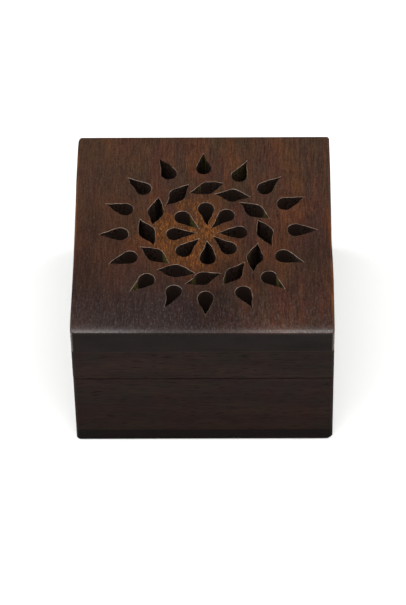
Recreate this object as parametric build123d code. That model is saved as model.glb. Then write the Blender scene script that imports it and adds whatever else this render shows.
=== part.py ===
from build123d import *
import math
import os

# A small square box of solid hardwood with a thick pierced lid on two brass butt hinges.
# Millimetres and degrees. The front faces -Y, +Z is up, and the origin is the middle of the underside.

# Outside of the box
box_width = 101.6
box_depth = 101.6
base_height = 38.1
lid_height = 29.0
seam_gap = 0.2
corner_radius = 1.6

# Boards
wall_thickness = 8.0
rebate_depth = 4.0
bottom_board_thickness = 6.5
top_board_thickness = 12.7

# Shaped and eased edges
foot_arris = 0.7
rim_arris = 0.35
top_arris = 0.35
front_round_run = 6.0
front_round_drop = 1.7

# Floor lining of felt
lining_thickness = 1.2
lining_clearance = 0.4

# Ornament sawn through the lid: rays outside, leaves between, petals in the middle.
# It is marked out by hand, so its middle lies a little off the middle of the lid and no ring starts
# quite at the back.
ornament_offset_x = 1.1
ornament_offset_y = -0.6
ray_count = 16
ray_first_angle = 91.3
ray_ring_radius = 34.0
ray_drill_diameter = 6.2
ray_reach = 8.2
leaf_count = 12
leaf_first_angle = 89.5
leaf_ring_radius = 23.0
leaf_drill_diameter = 6.8
leaf_reach = 7.45
leaf_lean = 67.0
petal_count = 8
petal_first_angle = 92.4
petal_ring_radius = 12.6
petal_drill_diameter = 6.4
petal_reach = 8.7

# Butt hinges, let into the back walls
hinge_end_distance = 13.8
hinge_length = 22.0
knuckle_count = 3
leaf_plate_width = 6.0
leaf_plate_thickness = 0.8
barrel_proud = 0.4
hinge_pin_diameter = 1.4
opening_angle = 100.0
stop_clearance_angle = 1.0
pin_running_clearance = 0.05
knuckle_clearance = 0.3
knuckle_side_clearance = 0.1
mortise_clearance = 0.1

# Brass tacks of the hinges: round heads on square tapered shanks
tack_spacing = 13.0
tack_set = 3.6
tack_length = 6.0
tack_width = 1.2
tack_point_width = 0.4
tack_head_diameter = 2.6
tack_head_thickness = 0.4
tack_clearance = 0.04

# Square cut brads of the corners and the bottom board
brad_width = 1.2
brad_point_width = 0.5
brad_head_width = 1.9
brad_head_thickness = 0.6
brad_clearance = 0.03
corner_brad_length = 14.0
corner_brad_sink = 0.8
corner_brad_edge_distance = 6.0
bottom_brad_length = 16.0
bottom_brad_sink = 0.2
bottom_brad_spacing = 60.0

# Room by which a cutting tool passes the face that it comes out of
overrun = 2.0

# Places worked out from the sizes above
total_height = base_height + seam_gap + lid_height
lid_underside = base_height + seam_gap
top_board_underside = total_height - top_board_thickness
pin_bore_radius = hinge_pin_diameter / 2 + pin_running_clearance
barrel_radius = pin_bore_radius + leaf_plate_thickness
hinge_axis_y = box_depth / 2 + barrel_proud - barrel_radius
hinge_axis_z = base_height + seam_gap / 2


def prism(plan, bottom, top):
    """A plan drawing carried straight up from one height to another."""
    return extrude(Pos(0, 0, bottom) * plan, amount=top - bottom)


def along_x(profile, length):
    """A YZ profile carried the same way to both sides of the middle."""
    return extrude(Plane.YZ * profile, amount=length / 2, both=True)


# ---- Outer form, shared by every board so that the edges run on from one to the next ----

def box_plan():
    return RectangleRounded(box_width, box_depth, corner_radius)


def stop_bevel(direction):
    """Bevel along the back of the seam. Its slope runs out from the hinge axis, below it for the
    base (-1) and above it for the lid (+1), so the two bevels meet when the lid is fully open."""
    slope = math.tan(math.radians(opening_angle / 2 + stop_clearance_angle))
    reach = barrel_radius + overrun
    outline = Polyline(
        (hinge_axis_y, hinge_axis_z),
        (hinge_axis_y + reach, hinge_axis_z + direction * reach * slope),
        (hinge_axis_y + reach, hinge_axis_z - direction * overrun),
        (hinge_axis_y, hinge_axis_z - direction * overrun),
        close=True,
    )
    return along_x(make_face(outline), box_width + overrun)


def base_form():
    form = prism(box_plan(), 0, base_height)
    form = chamfer(form.edges().group_by(Axis.Z)[0], foot_arris)
    form = chamfer(form.edges().group_by(Axis.Z)[-1], rim_arris)
    return form - stop_bevel(-1)


def front_rounding():
    """What is planed off the front of the lid: a shallow arc that leaves the top without a break
    and meets the front face at a clear edge."""
    radius = (front_round_run ** 2 + front_round_drop ** 2) / (2 * front_round_drop)
    start_y = front_round_run - box_depth / 2
    waste_length = front_round_run + overrun
    waste_depth = front_round_drop + 2 * overrun
    waste_middle = (start_y - waste_length / 2, total_height + overrun - waste_depth / 2)
    waste = Pos(*waste_middle) * Rectangle(waste_length, waste_depth)
    waste -= Pos(start_y, total_height - radius) * Circle(radius)
    return along_x(waste, box_width + overrun)


def lid_form():
    form = prism(box_plan(), lid_underside, total_height) - front_rounding()
    lowest_top_edge = total_height - front_round_drop - top_arris
    start_y = front_round_run - box_depth / 2
    top_edges = form.edges().filter_by(
        lambda edge: edge.bounding_box().min.Z > lowest_top_edge and abs(edge.center().Y - start_y) > top_arris
    )
    form = chamfer(top_edges, top_arris)
    form = chamfer(form.edges().group_by(Axis.Z)[0], rim_arris)
    return form - stop_bevel(+1)


# ---- Walls, rebated and glued at the corners ----

def long_wall_plan(side):
    """Front (-1) or back (+1) wall: the full width, rebated inside both ends for the side walls."""
    plan = Pos(0, side * (box_depth - wall_thickness) / 2) * Rectangle(box_width, wall_thickness)
    rebate_y = side * (box_depth / 2 - wall_thickness + rebate_depth / 2)
    for end in (-1, 1):
        rebate_x = end * (box_width - wall_thickness) / 2
        plan -= Pos(rebate_x, rebate_y) * Rectangle(wall_thickness, rebate_depth)
    return plan


def side_wall_plan(side):
    """Left (-1) or right (+1) wall, housed in the rebates of the front and back walls."""
    length = box_depth - 2 * (wall_thickness - rebate_depth)
    return Pos(side * (box_width - wall_thickness) / 2, 0) * Rectangle(wall_thickness, length)


def walls(form, bottom, top):
    """The four walls of the base or of the lid, cut to its outer form."""
    plans = {
        "front": long_wall_plan(-1),
        "back": long_wall_plan(+1),
        "left": side_wall_plan(-1),
        "right": side_wall_plan(+1),
    }
    return {name: form & prism(plan, bottom, top) for name, plan in plans.items()}


# ---- Cut brads and tacks ----

def cut_shank(width, point_width, length, grow):
    """A square shank that stands on the XY plane and tapers to its point. Grown a little it is its
    own pocket."""
    taper = math.degrees(math.atan((width - point_width) / 2 / length))
    return extrude(Rectangle(width + 2 * grow, width + 2 * grow), amount=length + grow, taper=taper)


def cut_brad(length, grow=0.0, mouth=0.0):
    """A brad with its square head on the XY plane and its point up. Grown a little it is its own
    pocket, and mouth carries the pocket of the head on to the face that the brad was driven from."""
    head_width = brad_head_width + 2 * grow
    head = prism(Rectangle(head_width, head_width), -grow - mouth, brad_head_thickness + grow)
    return head + cut_shank(brad_width, brad_point_width, length, grow)


def tack_shank(grow=0.0):
    """The shank of a hinge tack, point down from the XY plane."""
    return Rot(180, 0, 0) * cut_shank(tack_width, tack_point_width, tack_length, grow)


def hinge_tack():
    return prism(Circle(tack_head_diameter / 2), 0, tack_head_thickness) + tack_shank()


def corner_brad_places(bottom, top):
    """Two brads a corner, punched in from the side walls and stopped over, so no head shows."""
    distance_y = box_depth / 2 - wall_thickness + rebate_depth / 2
    heights = (bottom + corner_brad_edge_distance, top - corner_brad_edge_distance)
    places = []
    for side in (-1, 1):
        head_x = side * (box_width / 2 - corner_brad_sink)
        for end in (-1, 1):
            places += [Pos(head_x, end * distance_y, height) * Rot(0, -90 * side, 0) for height in heights]
    return places


def bottom_brad_places():
    """Two brads a wall, driven up through the bottom board."""
    half = bottom_brad_spacing / 2
    wall_x = (box_width - wall_thickness) / 2
    wall_y = (box_depth - wall_thickness) / 2
    corners = [(end * half, side * wall_y) for side in (-1, 1) for end in (-1, 1)]
    corners += [(side * wall_x, end * half) for side in (-1, 1) for end in (-1, 1)]
    return [Pos(x, y, bottom_brad_sink) for x, y in corners]


# ---- Hinges, drawn about a pin axis that lies along X through the origin ----

def hinge_places():
    middle_x = box_width / 2 - hinge_end_distance - hinge_length / 2
    return {side: Pos(place * middle_x, hinge_axis_y, hinge_axis_z) for side, place in (("left", -1), ("right", 1))}


def tack_places():
    """Places of the tack heads on the inner face of a base leaf."""
    face_z = leaf_plate_thickness - barrel_radius
    return [Pos(end * tack_spacing / 2, -tack_set, face_z) for end in (-1, 1)]


def hinge_leaf(first_knuckle):
    """A leaf stamped from sheet with its knuckles rolled round the pin. The plate lies low, as on
    the base. The base leaf holds knuckles 0, 2 and so on, and the lid leaf the ones between."""
    plate_middle = (-leaf_plate_width / 2, leaf_plate_thickness / 2 - barrel_radius)
    profile = Pos(*plate_middle) * Rectangle(leaf_plate_width, leaf_plate_thickness)
    profile += Circle(barrel_radius)
    profile -= Circle(pin_bore_radius)
    leaf = along_x(profile, hinge_length)
    pitch = hinge_length / knuckle_count
    notch_back = barrel_radius + overrun
    notch_front = -barrel_radius - knuckle_clearance
    notch_plan = Rectangle(pitch + 2 * knuckle_side_clearance, notch_back - notch_front)
    notch = prism(Pos(0, (notch_back + notch_front) / 2) * notch_plan, -notch_back, notch_back)
    for knuckle in range(1 - first_knuckle, knuckle_count, 2):
        leaf -= Pos((knuckle + 0.5) * pitch - hinge_length / 2, 0, 0) * notch
    hole = Circle(tack_width / math.sqrt(2) + tack_clearance)
    for place in tack_places():
        leaf -= place * prism(hole, -leaf_plate_thickness, overrun)
    return leaf


def hinge_pin():
    return along_x(Circle(hinge_pin_diameter / 2), hinge_length)


def hinge_housing():
    """What is chopped out of the top of the base wall for one hinge: a mortise for the plate, a
    gutter that the knuckles turn in, and the holes that the tacks are driven into."""
    length = hinge_length + 2 * mortise_clearance
    front = -leaf_plate_width - mortise_clearance
    back = barrel_radius + overrun
    plan = Pos(0, (front + back) / 2) * Rectangle(length, back - front)
    housing = prism(plan, -barrel_radius, overrun)
    housing += along_x(Circle(barrel_radius + knuckle_clearance), length)
    for place in tack_places():
        housing += place * tack_shank(tack_clearance)
    return housing


def over_lid(shape):
    """The lid's half of the hinge is the base's half turned over about the pin."""
    return mirror(shape, about=Plane.XY)


# ---- Ornament ----

def touch_point(radius, reach, turn):
    """Where a line from a point at that reach touches the drilled hole, on the side of turn."""
    angle = turn * math.acos(radius / reach)
    return Vector(radius * math.cos(angle), radius * math.sin(angle))


def teardrop(diameter, reach):
    """A drilled hole sawn out to one point, along +X."""
    radius = diameter / 2
    upper = touch_point(radius, reach, +1)
    lower = touch_point(radius, reach, -1)
    round_end = ThreePointArc(upper, (-radius, 0), lower)
    point = Polyline(lower, (reach, 0), upper)
    return make_face([round_end, point])


def pointed_leaf(diameter, reach):
    """A drilled hole sawn out to a point both ways, along +X and -X."""
    radius = diameter / 2
    upper = touch_point(radius, reach, +1)
    lower = touch_point(radius, reach, -1)
    upper_far = Vector(-upper.X, upper.Y)
    lower_far = Vector(-lower.X, lower.Y)
    return make_face([
        ThreePointArc(upper, (0, radius), upper_far),
        Polyline(upper_far, (-reach, 0), lower_far),
        ThreePointArc(lower_far, (0, -radius), lower),
        Polyline(lower, (reach, 0), upper),
    ])


def ornament():
    """Rays that point out, leaves that lean round like a pinwheel, and petals that point in."""
    ray = teardrop(ray_drill_diameter, ray_reach)
    leaf = Rot(0, 0, -leaf_lean) * pointed_leaf(leaf_drill_diameter, leaf_reach)
    petal = Rot(0, 0, 180) * teardrop(petal_drill_diameter, petal_reach)
    shapes = [place * ray for place in PolarLocations(ray_ring_radius, ray_count, ray_first_angle)]
    shapes += [place * leaf for place in PolarLocations(leaf_ring_radius, leaf_count, leaf_first_angle)]
    shapes += [place * petal for place in PolarLocations(petal_ring_radius, petal_count, petal_first_angle)]
    return [Pos(ornament_offset_x, ornament_offset_y) * shape for shape in shapes]


def top_board():
    """The thick lid board with the ornament sawn through it."""
    board = lid_form() & prism(box_plan(), top_board_underside, total_height)
    return board - [prism(shape, top_board_underside - overrun, total_height + overrun) for shape in ornament()]


# ---- Assembly ----

def base_pieces():
    pieces = {}
    form = base_form()
    corner_brads = corner_brad_places(bottom_board_thickness, base_height)
    bottom_brads = bottom_brad_places()
    pockets = [place * cut_brad(corner_brad_length, brad_clearance) for place in corner_brads]
    pockets += [place * cut_brad(bottom_brad_length, brad_clearance, bottom_brad_sink) for place in bottom_brads]
    housings = [place * hinge_housing() for place in hinge_places().values()]
    for name, wall in walls(form, bottom_board_thickness, base_height).items():
        wall -= pockets
        pieces[f"base_{name}_wall"] = wall - housings if name == "back" else wall
    pieces["base_bottom_board"] = (form & prism(box_plan(), 0, bottom_board_thickness)) - pockets
    inner_width = box_width - 2 * wall_thickness
    inner_depth = box_depth - 2 * wall_thickness
    lining_plan = Rectangle(inner_width - 2 * lining_clearance, inner_depth - 2 * lining_clearance)
    lining_top = bottom_board_thickness + lining_thickness
    pieces["floor_lining"] = prism(lining_plan, bottom_board_thickness, lining_top)
    pieces["base_corner_brads"] = Compound([place * cut_brad(corner_brad_length) for place in corner_brads])
    pieces["bottom_board_brads"] = Compound([place * cut_brad(bottom_brad_length) for place in bottom_brads])
    tacks = []
    for side, place in hinge_places().items():
        pieces[f"{side}_hinge_base_leaf"] = place * hinge_leaf(0)
        pieces[f"{side}_hinge_pin"] = place * hinge_pin()
        tacks += [place * tack_place * hinge_tack() for tack_place in tack_places()]
    pieces["hinge_base_tacks"] = Compound(tacks)
    return pieces


def lid_pieces():
    pieces = {}
    corner_brads = corner_brad_places(lid_underside, top_board_underside)
    pockets = [place * cut_brad(corner_brad_length, brad_clearance) for place in corner_brads]
    housings = [place * over_lid(hinge_housing()) for place in hinge_places().values()]
    for name, wall in walls(lid_form(), lid_underside, top_board_underside).items():
        wall -= pockets
        pieces[f"lid_{name}_wall"] = wall - housings if name == "back" else wall
    pieces["lid_top_board"] = top_board()
    pieces["lid_corner_brads"] = Compound([place * cut_brad(corner_brad_length) for place in corner_brads])
    tacks = []
    for side, place in hinge_places().items():
        pieces[f"{side}_hinge_lid_leaf"] = place * over_lid(hinge_leaf(1))
        tacks += [place * over_lid(tack_place * hinge_tack()) for tack_place in tack_places()]
    pieces["hinge_lid_tacks"] = Compound(tacks)
    return pieces


os.makedirs("parts", exist_ok=True)
for node, piece in {**base_pieces(), **lid_pieces()}.items():
    export_step(piece, f"parts/{node}.step")
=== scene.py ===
import math

import bmesh
import bpy
from mathutils import Matrix, Vector, noise


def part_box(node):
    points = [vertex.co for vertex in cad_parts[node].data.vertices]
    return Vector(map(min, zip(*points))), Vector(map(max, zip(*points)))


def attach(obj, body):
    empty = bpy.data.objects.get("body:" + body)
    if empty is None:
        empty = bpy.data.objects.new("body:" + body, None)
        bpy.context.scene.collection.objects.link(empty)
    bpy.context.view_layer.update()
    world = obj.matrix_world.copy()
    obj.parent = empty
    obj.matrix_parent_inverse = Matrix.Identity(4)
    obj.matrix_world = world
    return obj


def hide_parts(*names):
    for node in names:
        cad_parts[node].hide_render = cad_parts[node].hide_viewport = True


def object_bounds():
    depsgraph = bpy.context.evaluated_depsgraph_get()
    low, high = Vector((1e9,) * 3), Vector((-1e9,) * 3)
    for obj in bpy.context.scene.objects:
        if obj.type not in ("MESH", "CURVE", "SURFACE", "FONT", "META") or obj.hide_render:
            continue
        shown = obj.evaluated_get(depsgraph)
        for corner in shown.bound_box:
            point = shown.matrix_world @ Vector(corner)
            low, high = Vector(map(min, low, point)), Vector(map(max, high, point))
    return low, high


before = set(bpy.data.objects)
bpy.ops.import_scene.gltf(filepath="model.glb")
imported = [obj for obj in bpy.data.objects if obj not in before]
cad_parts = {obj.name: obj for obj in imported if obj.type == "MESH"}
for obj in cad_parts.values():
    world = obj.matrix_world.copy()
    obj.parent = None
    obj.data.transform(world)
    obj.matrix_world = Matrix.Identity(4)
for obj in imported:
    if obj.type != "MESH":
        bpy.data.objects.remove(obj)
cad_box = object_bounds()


# ---- Camera ----
# A long lens on a stand, a little right of the middle, looking down over the front edge on to
# the lid. The stand isn't quite level.

mm = 0.001
lens_length = 210.2
film_width = 36.0
nearest_seen = 50 * mm
view_distance = 1418 * mm
view_height_angle = math.radians(49.6)
view_side_angle = math.radians(1.37)
view_roll = math.radians(-1.25)
view_target = Vector((-0.66, 0.0, 24.31)) * mm

towards_camera = Vector((
    math.sin(view_side_angle) * math.cos(view_height_angle),
    -math.cos(view_side_angle) * math.cos(view_height_angle),
    math.sin(view_height_angle),
))
camera_data = bpy.data.cameras.new("camera")
camera_data.lens = lens_length
camera_data.sensor_width = film_width
camera_data.clip_start = nearest_seen
camera = bpy.data.objects.new("camera", camera_data)
level = towards_camera.to_track_quat("Z", "Y").to_matrix().to_4x4()
stand = Matrix.Translation(view_target + view_distance * towards_camera)
camera.matrix_world = stand @ level @ Matrix.Rotation(view_roll, 4, "Z")
bpy.context.scene.collection.objects.link(camera)
bpy.context.scene.camera = camera
bpy.context.scene.view_settings.view_transform = "Standard"


# ---- Table and lights ----
# A round white table top that turns up at the rim and is lit a little from below, with a soft box
# on each side and one overhead. The room behind is dim, so the lid keeps its colour.

table_radius = 2.2
table_rim = 1.2
table_sides = 96
cove_radius = 0.7
cove_steps = 10
table_drop = 0.02 * mm
table_colour = (0.82, 0.82, 0.81)
table_glow = 0.20
room_colour = (0.95, 0.97, 1.0, 1)
room_brightness = 0.05
# An edge that turns by less than this is part of a round, and one that turns by more is a real edge
round_limit = math.radians(24)


class Wire:
    """A socket that takes part in sums. Each operator adds one Math node."""

    def __init__(self, finish, socket):
        self.finish = finish
        self.socket = socket

    def math(self, operation, *values):
        return self.finish.node("ShaderNodeMath", {"operation": operation}, dict(enumerate(values)))

    def __add__(self, other):
        return self.math("ADD", self, other)

    def __radd__(self, other):
        return self.math("ADD", other, self)

    def __sub__(self, other):
        return self.math("SUBTRACT", self, other)

    def __rsub__(self, other):
        return self.math("SUBTRACT", other, self)

    def __mul__(self, other):
        return self.math("MULTIPLY", self, other)

    def __rmul__(self, other):
        return self.math("MULTIPLY", other, self)

    def __abs__(self):
        return self.math("ABSOLUTE", self)

    def or_more(self, other):
        return self.math("MAXIMUM", self, other)


class Finish:
    """A material as it is made up, node by node. Its places and sizes are in millimetres."""

    def __init__(self, name):
        self.material = bpy.data.materials.new(name)
        self.material.use_nodes = True
        self.tree = self.material.node_tree
        self.tree.nodes.clear()
        place = self.node("ShaderNodeTexCoord", output="Object")
        self.place = self.node("ShaderNodeVectorMath", {"operation": "SCALE"}, {0: place, "Scale": 1 / mm})

    def node(self, kind, settings=None, sockets=None, output=0):
        """Any node: its settings first, then the values or wires of its sockets."""
        made = self.tree.nodes.new(kind)
        for key, value in (settings or {}).items():
            setattr(made, key, value)
        for key, value in (sockets or {}).items():
            if isinstance(value, Wire):
                self.tree.links.new(value.socket, made.inputs[key])
            else:
                made.inputs[key].default_value = value
        return Wire(self, made.outputs[output]) if made.outputs else None

    def rise(self, value, low, high):
        """A smooth rise from 0 where value is low to 1 where it is high."""
        return self.node("ShaderNodeMapRange", {"interpolation_type": "SMOOTHSTEP"},
                         {"Value": value, "From Min": low, "From Max": high})

    def fall(self, value, low, high):
        """A smooth fall from 1 where value is low to 0 where it is high."""
        return 1 - self.rise(value, low, high)

    def mix(self, share, first, second, blend="MIX"):
        """Two colours mixed by share. A Mix node has its colours in sockets 6 and 7, and gives the
        mixed one as its output 2."""
        sides = {6: first, 7: second}
        sockets = {key: (*side, 1) if isinstance(side, tuple) else side for key, side in sides.items()}
        settings = {"data_type": "RGBA", "blend_type": blend}
        return self.node("ShaderNodeMix", settings, {0: share, **sockets}, 2)

    def times(self, colour, factor):
        """A colour multiplied by a number or by another colour."""
        return self.mix(1.0, colour, factor, "MULTIPLY")

    def cloud(self, sizes, detail=0.0, roughness=0.5, shift=(0.0, 0.0, 0.0), place=None, output="Fac"):
        """Soft noise from 0 to 1, with lumps of about these sizes along X, Y and Z."""
        counts = tuple(1 / size for size in sizes)
        point = self.node("ShaderNodeVectorMath", {"operation": "MULTIPLY_ADD"},
                          {0: place or self.place, 1: counts, 2: shift})
        return self.node("ShaderNodeTexNoise", None,
                         {"Vector": point, "Scale": 1.0, "Detail": detail, "Roughness": roughness}, output)

    def part(self, vector, axis):
        """One number of a vector: 0 for X, 1 for Y, 2 for Z."""
        return self.node("ShaderNodeSeparateXYZ", None, {0: vector}, axis)

    def bump(self, height, depth):
        """Relief that is this deep where height is 1."""
        return self.node("ShaderNodeBump", None,
                         {"Strength": 1.0, "Distance": depth * mm, "Height": height})

    def surface(self, **sockets):
        """The closing shader. An underscore in a name stands for the space in the socket's name."""
        named = {key.replace("_", " "): value for key, value in sockets.items()}
        shader = self.node("ShaderNodeBsdfPrincipled", None, named)
        self.node("ShaderNodeOutputMaterial", None, {"Surface": shader})
        return self.material


def matt_white():
    """Matt white paint with a faint speckle."""
    white = Finish("matt_white")
    speckle = white.cloud((3.0, 3.0, 3.0), 2.0)
    return white.surface(Base_Color=white.times(table_colour, 0.985 + 0.03 * speckle), Roughness=0.9,
                         Specular_IOR_Level=0.2, Emission_Color=(1, 1, 1, 1), Emission_Strength=table_glow)


def mesh_object(bm, name, material):
    """A finished bmesh as an object at the origin, smooth but for its real edges."""
    bm.normal_update()
    for face in bm.faces:
        face.smooth = True
    for edge in bm.edges:
        edge.smooth = len(edge.link_faces) == 2 and edge.calc_face_angle() < round_limit
    mesh = bpy.data.meshes.new(name)
    bm.to_mesh(mesh)
    bm.free()
    mesh.materials.append(material)
    made = bpy.data.objects.new(name, mesh)
    bpy.context.scene.collection.objects.link(made)
    return made


def only(kind, parts):
    """The corners, edges or faces among the parts that an operator made."""
    return [part for part in parts if isinstance(part, kind)]


bm = bmesh.new()
bmesh.ops.create_circle(bm, cap_ends=True, segments=table_sides, radius=table_radius)
rim_edges = bm.edges[:]
raised = bmesh.ops.extrude_edge_only(bm, edges=rim_edges)["geom"]
bmesh.ops.translate(bm, verts=only(bmesh.types.BMVert, raised), vec=(0, 0, table_rim))
bmesh.ops.bevel(bm, geom=rim_edges, offset=cove_radius, segments=cove_steps, profile=0.5, affect="EDGES",
                material=-1)
bmesh.ops.translate(bm, verts=bm.verts, vec=(0, 0, -table_drop))
table = mesh_object(bm, "table_top", matt_white())


def soft_box(name, place, aim, width, length, watts):
    """A lamp with a cloth front, turned to where it is aimed. The camera doesn't see it."""
    light = bpy.data.lights.new(name, "AREA")
    light.shape = "RECTANGLE"
    light.size = width
    light.size_y = length
    light.energy = watts
    lamp = bpy.data.objects.new(name, light)
    turn = (Vector(place) - Vector(aim)).to_track_quat("Z", "Y").to_matrix().to_4x4()
    lamp.matrix_world = Matrix.Translation(place) @ turn
    lamp.visible_camera = False
    bpy.context.scene.collection.objects.link(lamp)


soft_box("left_soft_box", place=(-0.78, -0.02, 0.66), aim=(0, 0, 0.04), width=0.9, length=1.1, watts=8.4)
soft_box("right_soft_box", place=(0.78, 0.02, 0.66), aim=(0, 0, 0.04), width=0.9, length=1.1, watts=8.0)
soft_box("overhead_soft_box", place=(0.0, -0.42, 0.90), aim=(0, 0, 0.05), width=0.9, length=0.44, watts=6.9)

room = bpy.data.worlds.new("dim_room")
room.use_nodes = True
room.node_tree.nodes["Background"].inputs["Color"].default_value = room_colour
room.node_tree.nodes["Background"].inputs["Strength"].default_value = room_brightness
bpy.context.scene.world = room


# ---- Walls of the base ----
# Four boards of hardwood, rebated and glued at the corners, with the grain running round the box.
# The outside is stained nearly black, sanded and waxed. The inside is left rough and thinly stained.

weld = 0.002 * mm
half_width = cad_box[1].x
inside_reach = 42.8 * mm
side_planing_start = half_width - 2.2 * mm
seam_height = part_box("base_front_wall")[1].z
# How far the left (-1) and right (1) sides of the base lie inside the square under the seam, each
# as places from the back to the front with the depth there, in millimetres
base_hollows = {
    -1: ((50.8, 0.30), (20.0, 0.15), (-50.8, 0.08)),
    1: ((50.8, 0.25), (10.0, 0.30), (-50.8, 0.0)),
}
# How long the slow drift of the grain is, and how far it goes, in millimetres
drift_length = (38.0, 38.0, 38.0)
drift_reach = (4.0, 4.0, 4.0)
wall_dark = (0.0131, 0.0086, 0.0081)
wall_middle = (0.0185, 0.0118, 0.0102)
wall_warm = (0.0240, 0.0132, 0.0094)
olive_tint = (0.98, 1.16, 0.92)
red_tint = (1.22, 0.94, 0.92)
pore_shade = (0.004, 0.003, 0.003)
foot_tint = (0.86, 0.73, 0.66)
raw_shade = (0.064, 0.036, 0.019)


class Wood(Finish):
    """Hardwood with its grain along X (0) or Y (1). The pattern fills the board, so a face that is
    cut across the grain shows the ends of the pores. The log is a number that tells one tree from
    another. Each step works on the colour that the steps before it left."""

    def __init__(self, name, grain, log):
        super().__init__(name)
        self.grain = grain
        self.log = (log, log, log)
        drift = self.cloud(drift_length, 1.0, shift=self.log, output="Color")
        self.wandering = self.node("ShaderNodeVectorMath", {"operation": "MULTIPLY_ADD"},
                                   {0: drift, 1: drift_reach, 2: self.place})
        self.normal = self.node("ShaderNodeTexCoord", output="Normal")
        self.end_grain = self.rise(abs(self.part(self.normal, grain)), 0.75, 0.95)

    def figure(self, across, along, detail=0.0, roughness=0.5):
        """Noise that follows the grain, with lumps this wide across it and this long along it."""
        sizes = [across, across, across]
        sizes[self.grain] = along
        return self.cloud(sizes, detail, roughness, self.log, self.wandering)

    def lay_on(self, share, shade):
        """Another colour laid over the wood by share."""
        self.colour = self.mix(share, self.colour, shade)

    def tint(self, share, tint):
        """The wood's colour taken by share to its product with the tint."""
        self.colour = self.mix(share, self.colour, self.times(self.colour, tint))

    def shade(self, factor):
        """The wood made lighter or darker."""
        self.colour = self.times(self.colour, factor)

    def stain(self, dark, middle, warm, warmth, pore_depth=0.55, fibre_depth=1.0):
        """Colour, roughness and relief of the stained outside."""
        bands = self.figure(8.0, 120.0, 2.0)
        streaks = self.figure(1.1, 30.0, 3.0, 0.65)
        self.fibres = self.figure(0.5, 6.0, 2.0, 0.7)
        self.pores = self.rise(self.figure(0.36, 4.0), 0.60, 0.74)
        self.colour = self.mix(self.rise(0.4 * bands + 0.6 * streaks, 0.30, 0.70), dark, middle)
        olive = self.rise(self.figure(9.0, 22.0, 2.0), 0.42, 0.66)
        self.tint(olive * 0.6, olive_tint)
        red = self.cloud((7.0, 16.0, 7.0), 2.0, shift=(5.5, 2.5, 9.5), place=self.wandering)
        self.tint(self.rise(red, 0.45, 0.66) * 0.7, red_tint)
        glow = self.rise(0.7 * self.figure(10.0, 45.0, 1.0) + 0.3 * streaks, 0.46, 0.68)
        self.lay_on(glow * warmth, warm)
        self.shade(1 - fibre_depth / 2 + fibre_depth * self.fibres)
        self.lay_on(self.pores * pore_depth, pore_shade)
        self.roughness = 0.42 + 0.12 * self.fibres + 0.2 * self.pores
        self.height = 0.6 * self.fibres - 0.8 * self.pores

    def darken_downwards(self):
        """The wood is darker towards the foot."""
        self.tint(self.fall(self.part(self.place, 2), 5.0, 40.0), foot_tint)

    def leave_inside_raw(self):
        """The faces that look into the box keep the thin stain of rough wood."""
        reach = abs(self.part(self.place, 0)).or_more(abs(self.part(self.place, 1)))
        inside = self.fall(reach, inside_reach / mm + 0.02, inside_reach / mm + 0.10)
        saw_marks = self.figure(0.8, 1.6, 1.0)
        rough_fibres = self.figure(1.1, 40.0, 3.0)
        self.lay_on(inside, self.times(raw_shade, 0.55 + 0.5 * rough_fibres + 0.4 * saw_marks))
        self.roughness = self.roughness + 0.25 * inside

    def waxed(self, relief=0.035, **more):
        """The finished wood under a thin wax."""
        return self.surface(Base_Color=self.colour, Roughness=self.roughness, Specular_IOR_Level=0.02,
                            Normal=self.bump(self.height, relief), **more)


def flats_kept_flat(piece):
    """The wide faces rule the shading where they run into rounds."""
    weighted = piece.modifiers.new("flats_stay_flat", "WEIGHTED_NORMAL")
    weighted.keep_sharp = True
    return piece


def welded(node):
    """A copy of a piece of the frame with its triangles joined."""
    bm = bmesh.new()
    bm.from_mesh(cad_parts[node].data)
    bmesh.ops.remove_doubles(bm, verts=bm.verts, dist=weld)
    return bm


def side_skin(bm):
    """The parts of a board that lie close to the left and right sides of the box."""
    points = [point for point in bm.verts if abs(point.co.x) > side_planing_start]
    near = set(points)
    edges = [edge for edge in bm.edges if near.issuperset(edge.verts)]
    return points + edges + [face for face in bm.faces if near.issuperset(face.verts)]


def hollow_at(hollows, along):
    """How far a side lies inside the square, read off between the places where it is given."""
    for (place, depth), (next_place, next_depth) in zip(hollows, hollows[1:]):
        if along >= next_place:
            return depth + (next_depth - depth) * min(1.0, (place - along) / (place - next_place))
    return hollows[-1][1]


def plane_sides(bm, hollows, fade_height):
    """The left and right sides as planed by eye. Their hollows fade out from fade_height down to the
    table, or not at all where it is 0."""
    for place in sorted({place for side in hollows.values() for place, _ in side}):
        bmesh.ops.bisect_plane(bm, geom=side_skin(bm), dist=weld, plane_co=(0, place * mm, 0),
                               plane_no=(0, 1, 0))
    for point in bm.verts:
        side = math.copysign(1, point.co.x)
        past_the_start = abs(point.co.x) - side_planing_start
        share = min(1.0, max(0.0, past_the_start / (half_width - side_planing_start)))
        height_share = min(1.0, point.co.z / fade_height) if fade_height else 1.0
        depth = hollow_at(hollows[side], point.co.y / mm) * mm
        point.co.x -= side * share * height_share * depth


def dressed(node, body, material, shaping=None):
    """A piece of the frame with its surface finished."""
    bm = welded(node)
    if shaping:
        shaping(bm)
    piece = flats_kept_flat(mesh_object(bm, f"{node}_finished", material))
    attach(piece, body)
    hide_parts(node)
    return piece


def wall_wood(name, grain, log):
    """The stained and waxed wood of one wall."""
    wood = Wood(name, grain, log)
    wood.stain(wall_dark, wall_middle, wall_warm, 0.55)
    wood.darken_downwards()
    wood.leave_inside_raw()
    return wood.waxed()


for side, grain, log in (("front", 0, 3.1), ("back", 0, 17.7), ("left", 1, 29.3), ("right", 1, 41.9)):
    dressed(f"base_{side}_wall", "base", wall_wood(f"base_{side}_wood", grain, log),
            lambda bm: plane_sides(bm, base_hollows, seam_height))


# ---- Bottom board ----
# One plain board under the walls, with the grain from front to back, so its front edge is end
# grain. It takes more stain than the walls, and its colours are darkened further with painted shade, so it
# shows as a darker strip.

half_depth = -cad_box[0].y
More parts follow.
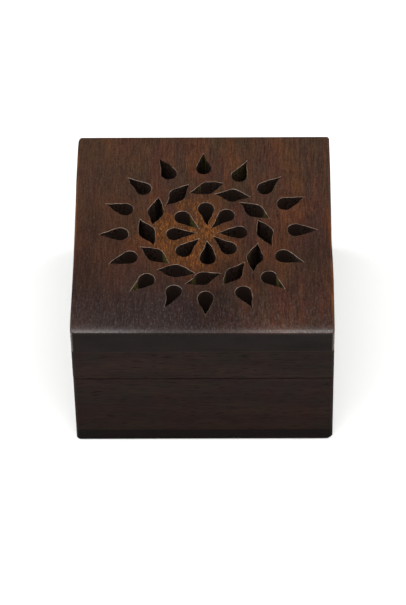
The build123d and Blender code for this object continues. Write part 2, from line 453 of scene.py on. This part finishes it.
# How far each corner of the foot is worn, across and up, in millimetres, after its side (-1 left,
# 1 right) and its end (-1 front, 1 back)
foot_wear = ((-1, -1, 2.3, 2.6), (1, -1, 4.2, 2.9), (-1, 1, 1.7, 1.6), (1, 1, 2.4, 2.0))
# Each corner is worn in three flats, from a wide low one to a narrow high one. Shares of its wear.
wear_rounds = ((1.0, 0.55), (0.72, 0.78), (0.5, 1.05))
# Partly stain and partly painted shade
foot_dark = (0.0042, 0.0030, 0.0030)
foot_middle = (0.0068, 0.0042, 0.0042)
foot_warm = (0.0115, 0.0053, 0.0045)


def wear_foot(bm):
    """The corners that the box is put down on, knocked round."""
    plane_sides(bm, base_hollows, seam_height)
    for side, end, across, up in foot_wear:
        for across_share, up_share in wear_rounds:
            reach = across * across_share * mm
            slope = Vector((side / reach, end / reach, -1 / (up * up_share * mm)))
            start = Vector((side * (half_width - reach), end * half_depth, 0))
            whole = bm.verts[:] + bm.edges[:] + bm.faces[:]
            cut = bmesh.ops.bisect_plane(bm, geom=whole, dist=weld / 20, plane_co=start, plane_no=slope,
                                         clear_outer=True)["geom_cut"]
            bmesh.ops.edgeloop_fill(bm, edges=only(bmesh.types.BMEdge, cut))


bottom_wood = Wood("bottom_wood", 1, 53.3)
bottom_wood.stain(foot_dark, foot_middle, foot_warm, 0.4)
dressed("base_bottom_board", "base", bottom_wood.waxed(), wear_foot)


# ---- Brads ----
# Square cut brads of soft steel hold the corners and the bottom board. Only the heads under the
# box show, dull and a little rusty.

steel_shade = (0.30, 0.29, 0.28)
rust_shade = (0.11, 0.045, 0.02)


def cut_steel():
    """Dull steel with rust in spots and the scratches of the shears."""
    steel = Finish("cut_steel")
    rust = steel.rise(steel.cloud((0.9, 0.9, 0.9), 3.0), 0.52, 0.66)
    scratches = steel.cloud((0.08, 1.5, 0.08), 1.0)
    return steel.surface(Base_Color=steel.mix(rust, steel_shade, rust_shade), Metallic=1 - 0.8 * rust,
                         Roughness=0.42 + 0.3 * rust, Normal=steel.bump(scratches, 0.01))


steel = cut_steel()
dressed("base_corner_brads", "base", steel)
dressed("bottom_board_brads", "base", steel)
dressed("lid_corner_brads", "lid", steel)


# ---- Floor lining ----
# A square of wine-coloured wool felt, cut by hand a little out of true and glued to the bottom board.
# Its upper face is napped, and lint has caught in it.

felt_low, felt_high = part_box("floor_lining")
felt_size = felt_high - felt_low
felt_middle = (felt_low + felt_high) / 2
felt_cells = 90
nap_depth = 0.16 * mm
nap_length = 1.7 * mm
felt_edge_wander = 0.18 * mm
felt_wander_length = 9 * mm
felt_dark = (0.022, 0.0035, 0.0045)
felt_light = (0.058, 0.008, 0.010)
felt_sheen = (0.8, 0.3, 0.3, 1)
lint_shade = (0.22, 0.12, 0.11)


def wool_felt():
    """Matted wool, with lint and a little wear."""
    felt = Finish("wool_felt")
    strands = felt.cloud((0.35, 0.35, 0.35), 4.0, 0.7)
    lint = felt.rise(felt.cloud((0.8, 0.25, 0.5), 2.0), 0.66, 0.72)
    wear = felt.cloud((22.0, 22.0, 22.0), 2.0)
    colour = felt.times(felt.mix(felt.rise(strands, 0.35, 0.65), felt_dark, felt_light), 0.7 + 0.6 * wear)
    colour = felt.mix(lint * 0.25, colour, lint_shade)
    return felt.surface(Base_Color=colour, Roughness=0.95, Specular_IOR_Level=0.1, Sheen_Weight=0.12,
                        Sheen_Roughness=0.5, Sheen_Tint=felt_sheen, Normal=felt.bump(strands, 0.25))


def lies_level(edge):
    return abs(edge.verts[0].co.z - edge.verts[1].co.z) < weld


bm = bmesh.new()
bmesh.ops.create_cube(bm, size=1)
bmesh.ops.scale(bm, verts=bm.verts, vec=felt_size)
bmesh.ops.translate(bm, verts=bm.verts, vec=felt_middle)
cut_edges = [edge for edge in bm.edges if lies_level(edge)]
bmesh.ops.subdivide_edges(bm, edges=cut_edges, cuts=felt_cells - 1, use_grid_fill=True)
for point in bm.verts:
    edge_distance = min(felt_size.x / 2 - abs(point.co.x), felt_size.y / 2 - abs(point.co.y))
    if edge_distance < felt_edge_wander:
        wander = noise.noise(Vector((point.co.x, point.co.y, 0)) / felt_wander_length) * 0.5 + 0.5
        shrink = 1 - 2 * felt_edge_wander * wander / felt_size.x
        point.co.x *= shrink
        point.co.y *= shrink
    if point.co.z > felt_middle.z:
        nap = noise.noise(point.co / nap_length) * 0.5 + 0.5
        point.co.z -= nap_depth * nap
felt = flats_kept_flat(mesh_object(bm, "felt_lining", wool_felt()))
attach(felt, "base")
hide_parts("floor_lining")


# ---- Hinges ----
# Two small butt hinges stamped from rolled brass, each with one leaf let into the base and one
# into the lid. The knuckles turn on a plain brass pin, and cut tacks with round heads hold the leaves.

leaf_bright = (0.58, 0.38, 0.14)
leaf_tarnish = (0.20, 0.11, 0.045)
tack_bright = (0.66, 0.46, 0.18)
tack_tarnish = (0.26, 0.15, 0.06)


def dull_brass(name, bright, tarnish):
    """Brass with the lines of the rolls, tarnished in clouds."""
    brass = Finish(name)
    clouds = brass.rise(brass.cloud((2.6, 2.6, 2.6), 4.0, 0.6), 0.42, 0.66)
    rolling = brass.cloud((6.0, 0.06, 0.06), 2.0)
    colour = brass.times(brass.mix(clouds * 0.75, bright, tarnish), 0.85 + 0.3 * rolling)
    return brass.surface(Base_Color=colour, Metallic=1.0, Roughness=0.30 + 0.25 * clouds + 0.1 * rolling,
                         Normal=brass.bump(rolling, 0.006))


leaf_brass = dull_brass("rolled_brass", leaf_bright, leaf_tarnish)
for side in ("left", "right"):
    dressed(f"{side}_hinge_base_leaf", "base", leaf_brass)
    dressed(f"{side}_hinge_lid_leaf", "lid", leaf_brass)
    dressed(f"{side}_hinge_pin", "base", leaf_brass)
tack_brass = dull_brass("cut_brass", tack_bright, tack_tarnish)
dressed("hinge_base_tacks", "base", tack_brass)
dressed("hinge_lid_tacks", "lid", tack_brass)


# ---- Walls of the lid ----
# Four lower boards of the same hardwood as the base, rebated, glued and bradded at the corners in
# the same way, and stained and waxed with it. The top board is glued down on them.

# How far the left and right sides of the lid lie inside the square, given as for the base
lid_hollows = {
    -1: ((50.8, 0.80), (48.5, 0.40), (45.0, 0.25), (25.0, 0.14), (15.0, 0.28), (-15.0, 0.33), (-25.0, 0.25),
         (-45.0, 0.0)),
    1: ((50.8, 0.60), (45.0, 0.56), (35.0, 0.43), (15.0, 0.46), (-5.0, 0.50), (-15.0, 0.18), (-25.0, 0.0)),
}

for side, grain, log in (("front", 0, 5.9), ("back", 0, 17.7), ("left", 1, 29.3), ("right", 1, 41.9)):
    dressed(f"lid_{side}_wall", "lid", wall_wood(f"lid_{side}_wood", grain, log),
            lambda bm: plane_sides(bm, lid_hollows, 0))


# ---- Top board of the lid ----
# A thick board with the grain from front to back. The ornament is drilled and sawn out with a fret
# saw by eye, so no cut stands quite in its place, and its edges are rubbed over. The stain is worn
# thin in the middle, and the sawn faces took little of it.

board_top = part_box("lid_top_board")[1].z
board_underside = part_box("lid_top_board")[0].z
ornament_middle = Vector((1.1, -0.6, 0.0)) * mm
ornament_reach = 46 * mm
# Each ring starts at its first angle and runs against the clock. A width over 1 means cuts sawn a
# little outside the line. A stray says how far a cut stands outwards and round from its place on
# the ring. Millimetres and degrees.
rings = (
    {"first": 91.3, "radius": 34.0, "drill": 3.1, "width": 1.045, "strays": (
        (0.2, 0.3), (1.0, 0.9), (0.3, 0.4), (0.3, 0.0), (-0.3, -0.2), (-1.7, -0.4),
        (-0.5, 0.3), (-1.2, -0.4), (-0.4, -0.6), (0.3, 0.9), (-0.1, 0.2), (-1.3, -0.5),
        (1.3, 0.5), (0.6, 1.2), (-1.0, -0.7), (-1.1, -1.2))},
    {"first": 89.5, "radius": 23.0, "drill": 3.4, "width": 0.98, "strays": (
        (0.6, 0.0), (0.1, 0.1), (-0.2, 0.4), (0.2, -0.3), (-0.1, 0.2), (0.0, -0.1),
        (0.7, -0.9), (1.0, -1.0), (0.1, -1.2), (0.1, 0.2), (-0.7, 0.6), (-0.8, 1.0))},
    {"first": 92.4, "radius": 12.6, "drill": 3.2, "width": 1.02, "strays": (
        (0.0, -0.4), (-0.3, 0.3), (-0.3, 0.1), (0.1, 0.0), (0.6, 0.3), (-0.5, 0.1),
        (0.5, -0.5), (-0.5, 0.1))},
)
# The round of the front edge stands a little high at the left end and droops to the right
rounding_start = 6 * mm - half_depth
front_drop = 1.7 * mm
front_droop = 0.2 * mm
front_rise = 0.19 * mm
# Faces that turn by less than this are one flat, and a face whose normal rises by less stands upright
flat_limit = math.radians(0.2)
upright_limit = 0.2
# A face with its middle nearer to a drilled hole than this is the drill's work, not the saw's
on_the_hole = 0.12 * mm
sawing_step = 1.1 * mm
# How the saw strays: the length of each sway and how far it goes. The lean grows down the cut.
slow_sway = (5.0 * mm, 0.55 * mm)
quick_sway = (1.9 * mm, 0.30 * mm)
lean_sway = (13 * mm, 0.5 * mm)
lean_layer = 0.2
wander_seed = 4
# The share of the sways that is left on the drilled hole, and how fast it grows away from it
sway_on_the_hole = 0.25
sway_growth = 0.5 * mm
rubbed_edge = 0.30 * mm
rubbed_steps = 3
rim_depth = 0.05 * mm

top_dark = (0.0348, 0.0184, 0.0130)
top_middle = (0.0505, 0.0240, 0.0147)
top_warm = (0.0885, 0.0327, 0.0120)
even_shade = (0.0500, 0.0228, 0.0130)
# Painted shade: the board is darkened towards the front, and most of all round dark_front
front_shade_tint = (0.82, 0.76, 0.80)
# Places on the board are given as how far right and how far back of its middle, in millimetres
dark_front = (-8.0, -46.0)
dark_front_tint = (0.66, 0.72, 0.86)
# Painted shade and sheen: a darker grey laid over the front of the board
front_shade_and_sheen_colour = (0.025, 0.0185, 0.0180)
cold_corner = (-56.0, -26.0)
cold_corner_tint = (0.66, 0.72, 0.84)
# Pale flecks, partly old wax in the pores and partly painted glints
wax_and_glint_shade = (0.090, 0.072, 0.068)
# Where the stain took less or more than round about: how far right, how far back, how wide, and the tint
# The two dark patches along the front, 40 and 41 mm forward of the middle, add to the painted shade there
patches = (
    (-24.0, -10.0, 12.0, (1.22, 1.06, 0.96)), (32.0, 8.0, 11.0, (1.22, 1.10, 1.0)),
    (31.0, -45.0, 12.0, (1.28, 1.18, 1.08)), (11.0, -11.0, 8.0, (1.20, 1.08, 0.98)),
    (-33.0, 27.0, 15.0, (0.76, 0.88, 0.96)), (22.0, -22.0, 9.0, (0.68, 0.84, 0.96)),
    (-34.0, -40.0, 16.0, (0.80, 0.85, 0.88)), (2.0, -41.0, 15.0, (0.76, 0.76, 0.78)),
    (-40.0, 2.0, 16.0, (0.84, 0.88, 0.90)), (4.0, -24.0, 14.0, (0.84, 0.85, 0.84)),
)
worn_shade = (0.114, 0.0390, 0.0090)
gold_shade = (0.30, 0.112, 0.022)
edge_worn_shade = (0.170, 0.0600, 0.0150)
side_tint = (0.62, 0.66, 0.72)
end_shade = (0.0130, 0.0100, 0.0090)
sawn_shade = (0.070, 0.056, 0.018)
drilled_shade = (0.023, 0.0140, 0.0110)
# Pale rims of the cuts, partly wood rubbed bare and partly a painted highlight
rim_wear_and_highlight_shade = (0.37, 0.275, 0.205)


class TopWood(Wood):
    """The wood of the top board, which shows more of its making and wear than the rest."""

    def __init__(self):
        super().__init__("top_wood", 1, 71.0)
        self.stain(top_dark, top_middle, top_warm, 0.6, pore_depth=0.34, fibre_depth=0.85)
        self.across = self.part(self.place, 0)
        self.along = self.part(self.place, 1)
        self.sawn = self.marked("sawn")
        self.drilled = self.marked("drilled")
        self.rubbed = self.marked("rubbed")
        self.uncut = (1 - self.sawn) * (1 - self.drilled)
        self.specks = self.rise(self.figure(0.5, 1.7, 1.0), 0.56, 0.68)

    def marked(self, name):
        """1 on the faces with this mark and 0 on the others."""
        return self.node("ShaderNodeAttribute", {"attribute_name": name}, output="Fac")

    def distance_from(self, right, back):
        """How far a point lies from a place on the board, seen from above."""
        flat_place = self.node("ShaderNodeCombineXYZ", None, {0: self.across, 1: self.along})
        return self.node("ShaderNodeVectorMath", {"operation": "DISTANCE"},
                         {0: flat_place, 1: (right, back, 0.0)}, 1)

    def stain_and_shade_unevenly(self):
        """The stain is even at the left. Towards the front the wood is darkened and made cold with painted
        shade, greyed with painted shade and sheen, and flecked with old wax and painted glints. In patches
        the wood took less or more of the stain."""
        self.lay_on(self.fall(self.across, -44.0, -6.0) * 0.45, even_shade)
        # Painted shade, darker and colder towards the front
        self.tint(self.fall(self.along, -15.0, 38.0), front_shade_tint)
        self.tint(self.fall(self.distance_from(*dark_front), 8.0, 36.0), dark_front_tint)
        # Painted shade and sheen, greying the front, most at its left
        front_shade_and_sheen = self.fall(self.along, -50.0, -14.0) * self.fall(self.across, -16.0, 36.0)
        self.lay_on(front_shade_and_sheen * 0.6, front_shade_and_sheen_colour)
        self.tint(self.fall(self.distance_from(*cold_corner), 8.0, 26.0), cold_corner_tint)
        # Pale flecks along the front, partly old wax and partly painted glints
        self.lay_on(self.specks * self.fall(self.along, -47.0, -20.0) * 0.3, wax_and_glint_shade)
        for right, back, width, tint in patches:
            self.tint(self.fall(self.distance_from(right, back), 0.3 * width, width), tint)

    def wear_middle(self):
        """Fingers wore the middle of the ornament thin, and the warm wood shows there in threads."""
        from_middle = self.distance_from(ornament_middle.x / mm, ornament_middle.y / mm)
        patchy = self.rise(self.cloud((7.0, 12.0, 7.0), 2.0), 0.25, 0.6)
        self.worn = self.fall(from_middle + 0.35 * self.across, 6.0, 25.0) * patchy
        threads = self.rise(self.figure(0.42, 2.6, 1.0), 0.34, 0.66)
        self.lay_on(self.worn * 0.6, self.times(worn_shade, 0.5 + threads))
        self.lay_on(self.specks * self.worn * 0.5, gold_shade)

    def roughen(self):
        """Fine grain lines, pale flecks that are partly wax dried in the pores and partly painted glints,
        and grit.
        """
        lines = self.rise(self.figure(0.62, 7.0, 1.0), 0.32, 0.68)
        self.shade(0.84 + 0.32 * lines)
        # Partly dried wax in the pores, partly painted glints
        wax_and_glints = self.rise(self.figure(0.45, 1.3, 1.0), 0.50, 0.72)
        self.lay_on(wax_and_glints * (0.12 - 0.08 * self.worn), wax_and_glint_shade)
        grit = self.rise(self.cloud((0.45, 0.7, 0.45), 1.0), 0.30, 0.70)
        self.shade(0.80 + 0.36 * grit)

    def wear_sides(self):
        """The upper edges are worn to the wood where the lid is gripped. The sides are darker."""
        broken = self.rise(self.figure(3.0, 14.0, 2.0), 0.36, 0.58)
        edge_wear = self.rise(abs(self.across), 49.4, 50.4) * broken
        gripped = self.fall(abs(self.along + 0.3 * self.across), 14.0, 34.0)
        self.lay_on(edge_wear * (0.12 + 0.5 * gripped), edge_worn_shade)
        sides = self.rise(abs(self.part(self.normal, 0)), 0.5, 0.9)
        self.tint(sides * self.uncut, side_tint)

    def leave_ends_and_underside(self):
        """The end grain drank the stain till it was nearly black, and the underside has hardly any."""
        bands = self.cloud((16.0, 16.0, 5.0), 1.0)
        end_colour = self.times(end_shade, (0.8 + 0.4 * self.fibres) * (0.6 + 0.8 * bands))
        self.lay_on(self.end_grain, end_colour)
        underside = board_underside / mm
        below = self.fall(self.part(self.place, 2), underside + 0.02, underside + 0.1)
        self.lay_on(below, self.times(raw_shade, 0.6 + 0.8 * self.fibres))

    def colour_cuts(self):
        """The sawn faces soaked up stain on the end grain and are streaky and torn elsewhere, where the
        brush missed them. The drilled ones are dark and true."""
        soaked = self.rise(abs(self.part(self.normal, 1)), 0.45, 0.85)
        missed = self.rise(self.cloud((7.0, 7.0, 30.0), shift=(2.2, 6.1, 0.0)), 0.46, 0.62)
        blade_marks = self.cloud((0.35, 0.35, 6.0), 2.0)
        torn = self.rise(self.cloud((0.6, 0.6, 0.9), 2.0), 0.36, 0.64)
        sawn_colour = self.mix((1 - soaked) * missed, drilled_shade, sawn_shade)
        self.lay_on(self.sawn, self.times(sawn_colour, (0.35 + 1.2 * blade_marks) * (0.45 + torn)))
        self.lay_on(self.drilled, drilled_shade)
        self.roughness = self.roughness + 0.3 * self.sawn + 0.3 * self.drilled
        self.height = self.height + 1.5 * self.sawn * blade_marks

    def pale_rims_worn_and_highlighted(self):
        """The rims of the cuts are pale in places, partly rubbed through to the wood and partly with a
        painted highlight.
        """
        pale_rim_share = self.rise(self.cloud((2.4, 2.4, 2.4), 2.0, shift=(4.0, 1.0, 0.0)), 0.30, 0.62)
        self.steep = self.fall(self.part(self.normal, 2), 0.80, 0.97)
        self.lay_on(self.rubbed * (0.3 + 0.6 * pale_rim_share) * self.steep, rim_wear_and_highlight_shade)

    def polished(self):
        """The finished wood. Its wax shines along the front, at the sides and on the rubbed rims."""
        flecks = self.rise(self.figure(0.42, 2.4, 1.0), 0.40, 0.66)
        handled = 0.24 + 0.66 * self.rise(abs(self.across + 3.0), 10.0, 40.0)
        handled = handled * (0.3 + 0.7 * self.fall(self.along, -46.0, -38.0))
        handled = handled * (1 + 0.12 * self.fall(self.across, -32.0, -8.0))
        shine = handled * (0.5 + 0.5 * flecks) * (1 - self.rubbed) + 0.8 * self.rubbed * self.steep
        waxing = (1 - self.end_grain * (1 - self.rubbed)) * shine * self.uncut
        return self.waxed(relief=0.05, Coat_Weight=waxing, Coat_Roughness=0.27)


def holes(ring):
    """The middle of each drilled hole of a ring, in metres, with the way outwards."""
    for place in range(len(ring["strays"])):
        angle = math.radians(ring["first"] + 360 * place / len(ring["strays"]))
        outwards = Vector((math.cos(angle), math.sin(angle), 0))
        yield ornament_middle + ring["radius"] * mm * outwards, outwards


def nearest_hole(point):
    """How far a point lies outside the nearest drilled hole."""
    return min((point - hole).xy.length - ring["drill"] * mm for ring in rings for hole, _ in holes(ring))


def stray_of(middle):
    """How far the cut with this middle stands from its place, and how wide it was sawn."""
    flat = Vector((middle.x, middle.y, 0))
    choices = []
    for ring in rings:
        for (hole, outwards), (out, round_by) in zip(holes(ring), ring["strays"]):
            sideways = Vector((-outwards.y, outwards.x, 0))
            stray = (out * outwards + round_by * sideways) * mm
            choices.append(((flat - hole).length, stray, ring["width"]))
    return min(choices, key=lambda choice: choice[0])[1:]


def sway(point, length, reach, layer=0.0):
    """How far the saw sways at a point. Another layer of the noise gives another sway."""
    return noise.noise_vector(Vector((point.x, point.y, layer)) / length) * reach


def sawyer_wander(point, outside_hole):
    """How far the saw strays from the drawn line, at the top and at the bottom of the board. The
    drill left the round end true."""
    depth = (board_top - point.z) / (board_top - board_underside)
    freedom = min(1.0, sway_on_the_hole + outside_hole / sway_growth)
    along_the_line = (sway(point, *slow_sway) + sway(point, *quick_sway)) * freedom
    stray = along_the_line + sway(point, *lean_sway, lean_layer) * depth
    return Vector((stray.x, stray.y, 0))


def is_cut(face):
    """Whether a face belongs to the ornament."""
    return face[sawn_layer] + face[drilled_layer] + face[rubbed_layer] > 0


def is_top_rim(edge):
    """Whether an edge is where a cut meets the top of the board."""
    if len(edge.link_faces) != 2 or min(corner.co.z for corner in edge.verts) < board_top - rim_depth:
        return False
    return is_cut(edge.link_faces[0]) != is_cut(edge.link_faces[1])


def whole_cuts():
    """The corners of each cut, found by going from face to face."""
    waiting = dict.fromkeys(face for face in bm.faces if is_cut(face))
    while waiting:
        started = [waiting.popitem()[0]]
        corners = {}
        while started:
            face = started.pop()
            corners.update(dict.fromkeys(face.verts))
            for other in [other for edge in face.edges for other in edge.link_faces]:
                if other in waiting:
                    del waiting[other]
                    started.append(other)
        yield list(corners)


def middle_of(corners):
    """The middle of the box round these corners."""
    lowest = Vector(min(corner.co[axis] for corner in corners) for axis in range(3))
    highest = Vector(max(corner.co[axis] for corner in corners) for axis in range(3))
    return (lowest + highest) / 2


def lay_flat(height, upward):
    """A flat face of the board, laid anew round the cuts."""
    def lies_there(part):
        return all(abs(corner.co.z - height) < weld for corner in part.verts)

    bmesh.ops.delete(bm, geom=[face for face in bm.faces if lies_there(face)], context="FACES")
    rims = [edge for edge in bm.edges if len(edge.link_faces) == 1 and lies_there(edge)]
    laid = bmesh.ops.triangle_fill(bm, edges=rims, use_beauty=True, use_dissolve=False,
                                   normal=(0, 0, upward))
    bm.normal_update()
    turned = [face for face in only(bmesh.types.BMFace, laid["geom"]) if face.normal.z * upward < 0]
    bmesh.ops.reverse_faces(bm, faces=turned)


bm = welded("lid_top_board")
bmesh.ops.dissolve_limit(bm, angle_limit=flat_limit, verts=bm.verts, edges=bm.edges)
plane_sides(bm, lid_hollows, 0)
for point in bm.verts:
    if point.co.y < rounding_start:
        down_the_round = (rounding_start - point.co.y) / (rounding_start + half_depth)
        droop = (front_droop * (1 + point.co.x / half_width) ** 2 - front_rise) * down_the_round ** 2
        height_share = (point.co.z - board_underside) / (board_top - board_underside - front_drop)
        point.co.z -= droop * min(1.0, height_share)

sawn_layer = bm.faces.layers.float.new("sawn")
drilled_layer = bm.faces.layers.float.new("drilled")
rubbed_layer = bm.faces.layers.float.new("rubbed")
long_edges = {}
for face in bm.faces:
    middle = face.calc_center_median()
    if abs(face.normal.z) < upright_limit and (middle - ornament_middle).xy.length < ornament_reach:
        face[drilled_layer if nearest_hole(middle) < on_the_hole else sawn_layer] = 1.0
        for edge in face.edges:
            steps = round(edge.calc_length() / sawing_step)
            if lies_level(edge) and steps > 1:
                long_edges.setdefault(steps, {})[edge] = True
for steps, edges in sorted(long_edges.items()):
    alive = [edge for edge in edges if edge.is_valid]
    bmesh.ops.subdivide_edges(bm, edges=alive, cuts=steps - 1, use_grid_fill=True)

top_rims = [edge for edge in bm.edges if is_top_rim(edge)]
rubbed = bmesh.ops.bevel(bm, geom=top_rims, offset=rubbed_edge, segments=rubbed_steps, profile=0.5,
                         affect="EDGES", clamp_overlap=True, material=-1)
for face in rubbed["faces"]:
    face[rubbed_layer] = 1.0
    face[sawn_layer] = 0.0
    face[drilled_layer] = 0.0

noise.seed_set(wander_seed)
for corners in whole_cuts():
    cut_middle = middle_of(corners)
    stray, width = stray_of(cut_middle)
    for corner in corners:
        outwards = Vector((corner.co.x - cut_middle.x, corner.co.y - cut_middle.y, 0))
        corner.co += stray + (width - 1) * outwards + sawyer_wander(corner.co, nearest_hole(corner.co))
lay_flat(board_top, 1)
lay_flat(board_underside, -1)

top_wood = TopWood()
top_wood.stain_and_shade_unevenly()
top_wood.wear_middle()
top_wood.roughen()
top_wood.wear_sides()
top_wood.leave_ends_and_underside()
top_wood.colour_cuts()
top_wood.pale_rims_worn_and_highlighted()
top = flats_kept_flat(mesh_object(bm, "lid_top_board_finished", top_wood.polished()))
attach(top, "lid")
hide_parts("lid_top_board")
